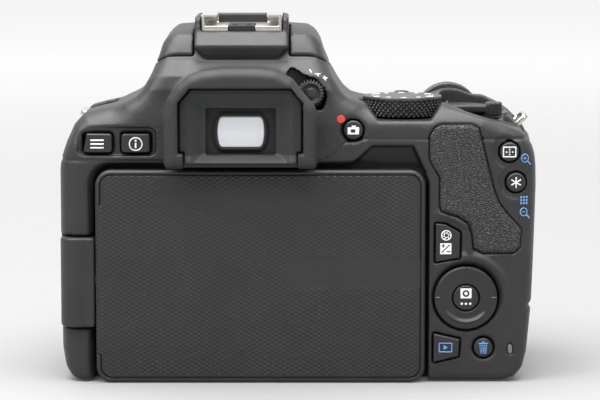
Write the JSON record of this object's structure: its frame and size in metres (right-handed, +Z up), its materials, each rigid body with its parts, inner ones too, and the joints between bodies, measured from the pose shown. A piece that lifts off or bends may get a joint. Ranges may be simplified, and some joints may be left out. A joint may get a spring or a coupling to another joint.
{
  "type": "dslr camera",
  "caption": "Interchangeable-lens reflex camera body with grip, folding side-hinged rear screen, viewfinder, pop-up flash, hot shoe, dials and keys; open lens mount.",
  "frame": {"origin": "mouth of the tripod socket, on the optical axis, in the plane the camera stands on", "axes": "+X towards the hand grip, +Y out through the lens mount, +Z up"},
  "size_m": [0.1224, 0.0713, 0.0926],
  "materials": {
    "shell": "fine moulded texture, matte",
    "key": "smooth satin",
    "rubber": "fine leather grain",
    "soft_rubber": "smooth matte",
    "steel": "satin",
    "mount_steel": "polished ring",
    "gold": "gold plated contacts",
    "inner_black": "deep matte black",
    "optic": "coated glass",
    "mirror": "front silvered",
    "screen_black": "glossy display cover",
    "board": "circuit board",
    "chassis": "pressed sheet",
    "battery": "satin",
    "sensor": "filter glass",
    "lamp": "clear lamp window",
    "flash_glass": "ribbed diffuser"
  },
  "bodies": {
    "camera_body": {"front_cover": "shell", "rear_cover": "shell", "top_cover": "shell", "base_plate": "shell", "grip_rubber": "rubber", "thumb_rubber": "rubber", "lens_mount": "mount_steel", "mount_screws": "steel", "contact_block": "gold", "mirror_box": "inner_black", "focusing_screen": "optic", "pentamirror": "inner_black", "eyepiece_lens": "optic", "eyecup": "soft_rubber", "hot_shoe": "steel", "shoe_insert": "inner_black", "strap_lugs": "steel", "tripod_socket": "steel", "chassis": "chassis", "image_sensor": "sensor", "shutter_frame": "inner_black", "main_board": "board", "battery": "battery", "terminal_sockets": "steel", "case_screws": "inner_black", "lamp_windows": "lamp"},
    "screen": {"hinge_block": "shell", "hinge_pin": "steel", "screen_shell": "shell", "screen_bezel": "screen_black", "screen_glass": "screen_black"},
    "flash": {"flash_head": "shell", "flash_lens": "flash_glass"},
    "mode_dial": {"mode_dial": "key"},
    "main_dial": {"main_dial": "key"},
    "power_switch": {"power_switch": "key"},
    "shutter_button": {"shutter_button": "key"},
    "iso_button": {"iso_button": "key"},
    "disp_button": {"disp_button": "key"},
    "menu_button": {"menu_button": "key"},
    "info_button": {"info_button": "key"},
    "live_view_button": {"live_view_button": "key"},
    "af_point_button": {"af_point_button": "key"},
    "ae_lock_button": {"ae_lock_button": "key"},
    "av_button": {"av_button": "key"},
    "playback_button": {"playback_button": "key"},
    "erase_button": {"erase_button": "key"},
    "set_button": {"set_button": "key"},
    "cross_keys": {"cross_keys": "key"},
    "dioptre_knob": {"dioptre_knob": "key"},
    "lens_release_button": {"lens_release_button": "key"},
    "lens_lock_pin": {"lens_lock_pin": "steel"},
    "main_mirror": {"main_mirror": "mirror"},
    "sub_mirror": {"sub_mirror": "mirror"},
    "shutter_blade_1": {"shutter_blade_1": "inner_black"},
    "shutter_blade_2": {"shutter_blade_2": "inner_black"},
    "battery_door": {"battery_door": "shell"},
    "door_latch": {"door_latch": "key"},
    "jack_cover": {"jack_cover": "soft_rubber"},
    "port_cover": {"port_cover": "soft_rubber"}
  },
  "joints": [
    {"name": "screen_swing", "type": "hinge", "parent": "camera_body", "child": "screen", "pos_m": [-0.0416, -0.02, 0], "axis": [0, 0, -1], "range_deg": [0, 175]},
    {"name": "flash_raise", "type": "hinge", "parent": "camera_body", "child": "flash", "pos_m": [0, -0.0124, 0.0842], "axis": [1, 0, 0], "range_deg": [0, 62]},
    {"name": "mode_dial_turn", "type": "hinge", "parent": "camera_body", "child": "mode_dial", "pos_m": [0.041, -0.0095, 0.0669], "axis": [0, 0, 1], "continuous": true},
    {"name": "main_dial_turn", "type": "hinge", "parent": "camera_body", "child": "main_dial", "pos_m": [0.0536, 0.009, 0.0654], "axis": [0, 1, 0], "continuous": true},
    {"name": "power_switch_turn", "type": "hinge", "parent": "camera_body", "child": "power_switch", "pos_m": [0.0562, -0.0032, 0.0672], "axis": [0, 0, -1], "range_deg": [0, 40]},
    {"name": "dioptre_turn", "type": "hinge", "parent": "camera_body", "child": "dioptre_knob", "pos_m": [0.0175, 0, 0.0733], "axis": [0, 1, 0], "range_deg": [-150, 150]},
    {"name": "shutter_press", "type": "slide", "parent": "camera_body", "child": "shutter_button", "axis": [0, -0.4695, -0.8829], "range_m": [0, 0.0009], "stiffness_N_per_m": 500},
    {"name": "iso_press", "type": "slide", "parent": "camera_body", "child": "iso_button", "axis": [0, 0, -1], "range_m": [0, 0.0004], "stiffness_N_per_m": 500},
    {"name": "disp_press", "type": "slide", "parent": "camera_body", "child": "disp_button", "axis": [0, 0, -1], "range_m": [0, 0.0004], "stiffness_N_per_m": 500},
    {"name": "menu_press", "type": "slide", "parent": "camera_body", "child": "menu_button", "axis": [0, 1, 0], "range_m": [0, 0.0005], "stiffness_N_per_m": 500},
    {"name": "info_press", "type": "slide", "parent": "camera_body", "child": "info_button", "axis": [0, 1, 0], "range_m": [0, 0.0005], "stiffness_N_per_m": 500},
    {"name": "live_view_press", "type": "slide", "parent": "camera_body", "child": "live_view_button", "axis": [0, 1, 0], "range_m": [0, 0.0005], "stiffness_N_per_m": 500},
    {"name": "af_point_press", "type": "slide", "parent": "camera_body", "child": "af_point_button", "axis": [0, 1, 0], "range_m": [0, 0.0005], "stiffness_N_per_m": 500},
    {"name": "ae_lock_press", "type": "slide", "parent": "camera_body", "child": "ae_lock_button", "axis": [0, 1, 0], "range_m": [0, 0.0005], "stiffness_N_per_m": 500},
    {"name": "av_press", "type": "slide", "parent": "camera_body", "child": "av_button", "axis": [0, 1, 0], "range_m": [0, 0.0005], "stiffness_N_per_m": 500},
    {"name": "playback_press", "type": "slide", "parent": "camera_body", "child": "playback_button", "axis": [0, 1, 0], "range_m": [0, 0.0005], "stiffness_N_per_m": 500},
    {"name": "erase_press", "type": "slide", "parent": "camera_body", "child": "erase_button", "axis": [0, 1, 0], "range_m": [0, 0.0005], "stiffness_N_per_m": 500},
    {"name": "set_press", "type": "slide", "parent": "camera_body", "child": "set_button", "axis": [0, 1, 0], "range_m": [0, 0.0005], "stiffness_N_per_m": 500},
    {"name": "cross_keys_rock", "type": "hinge", "parent": "camera_body", "child": "cross_keys", "pos_m": [0.0568, -0.0206, 0.0214], "axis": [1, 0, 0], "range_deg": [-2.5, 2.5], "stiffness_Nm_per_rad": 0.05},
    {"name": "lens_release_press", "type": "slide", "parent": "camera_body", "child": "lens_release_button", "axis": [0, -1, 0], "range_m": [0, 0.0019], "stiffness_N_per_m": 400},
    {"name": "lens_lock_retract", "type": "slide", "parent": "camera_body", "child": "lens_lock_pin", "axis": [0, -1, 0], "range_m": [0, 0.0019], "stiffness_N_per_m": 400},
    {"name": "mirror_lift", "type": "hinge", "parent": "camera_body", "child": "main_mirror", "pos_m": [0, 0.0016, 0.0512], "axis": [1, 0, 0], "range_deg": [0, 45]},
    {"name": "sub_mirror_fold", "type": "hinge", "parent": "main_mirror", "child": "sub_mirror", "pos_m": [0, 0.00917, 0.04095], "axis": [1, 0, 0], "range_deg": [0, 90]},
    {"name": "shutter_blade_1_run", "type": "slide", "parent": "camera_body", "child": "shutter_blade_1", "axis": [0, 0, -1], "range_m": [0, 0.0174]},
    {"name": "shutter_blade_2_run", "type": "slide", "parent": "camera_body", "child": "shutter_blade_2", "axis": [0, 0, -1], "range_m": [0, 0.0088]},
    {"name": "battery_door_open", "type": "hinge", "parent": "camera_body", "child": "battery_door", "pos_m": [0.06, -0.0042, 0.0019], "axis": [-1, 0, 0], "range_deg": [0, 100]},
    {"name": "door_latch_slide", "type": "slide", "parent": "battery_door", "child": "door_latch", "axis": [0, -1, 0], "range_m": [0, 0.002], "stiffness_N_per_m": 200},
    {"name": "jack_cover_open", "type": "hinge", "parent": "camera_body", "child": "jack_cover", "pos_m": [-0.0449, 0.011, 0.04], "axis": [0, 0, -1], "range_deg": [0, 95]},
    {"name": "port_cover_open", "type": "hinge", "parent": "camera_body", "child": "port_cover", "pos_m": [0.07456, -0.005, 0.0275], "axis": [0.1104, 0, 0.9939], "range_deg": [0, 95]}
  ],
  "couplings": [
    {"joint": "lens_lock_retract", "follows": "lens_release_press", "ratio": 1},
    {"joint": "sub_mirror_fold", "follows": "mirror_lift", "ratio": 2},
    {"joint": "shutter_blade_2_run", "follows": "shutter_blade_1_run", "ratio": 0.5}
  ]
}
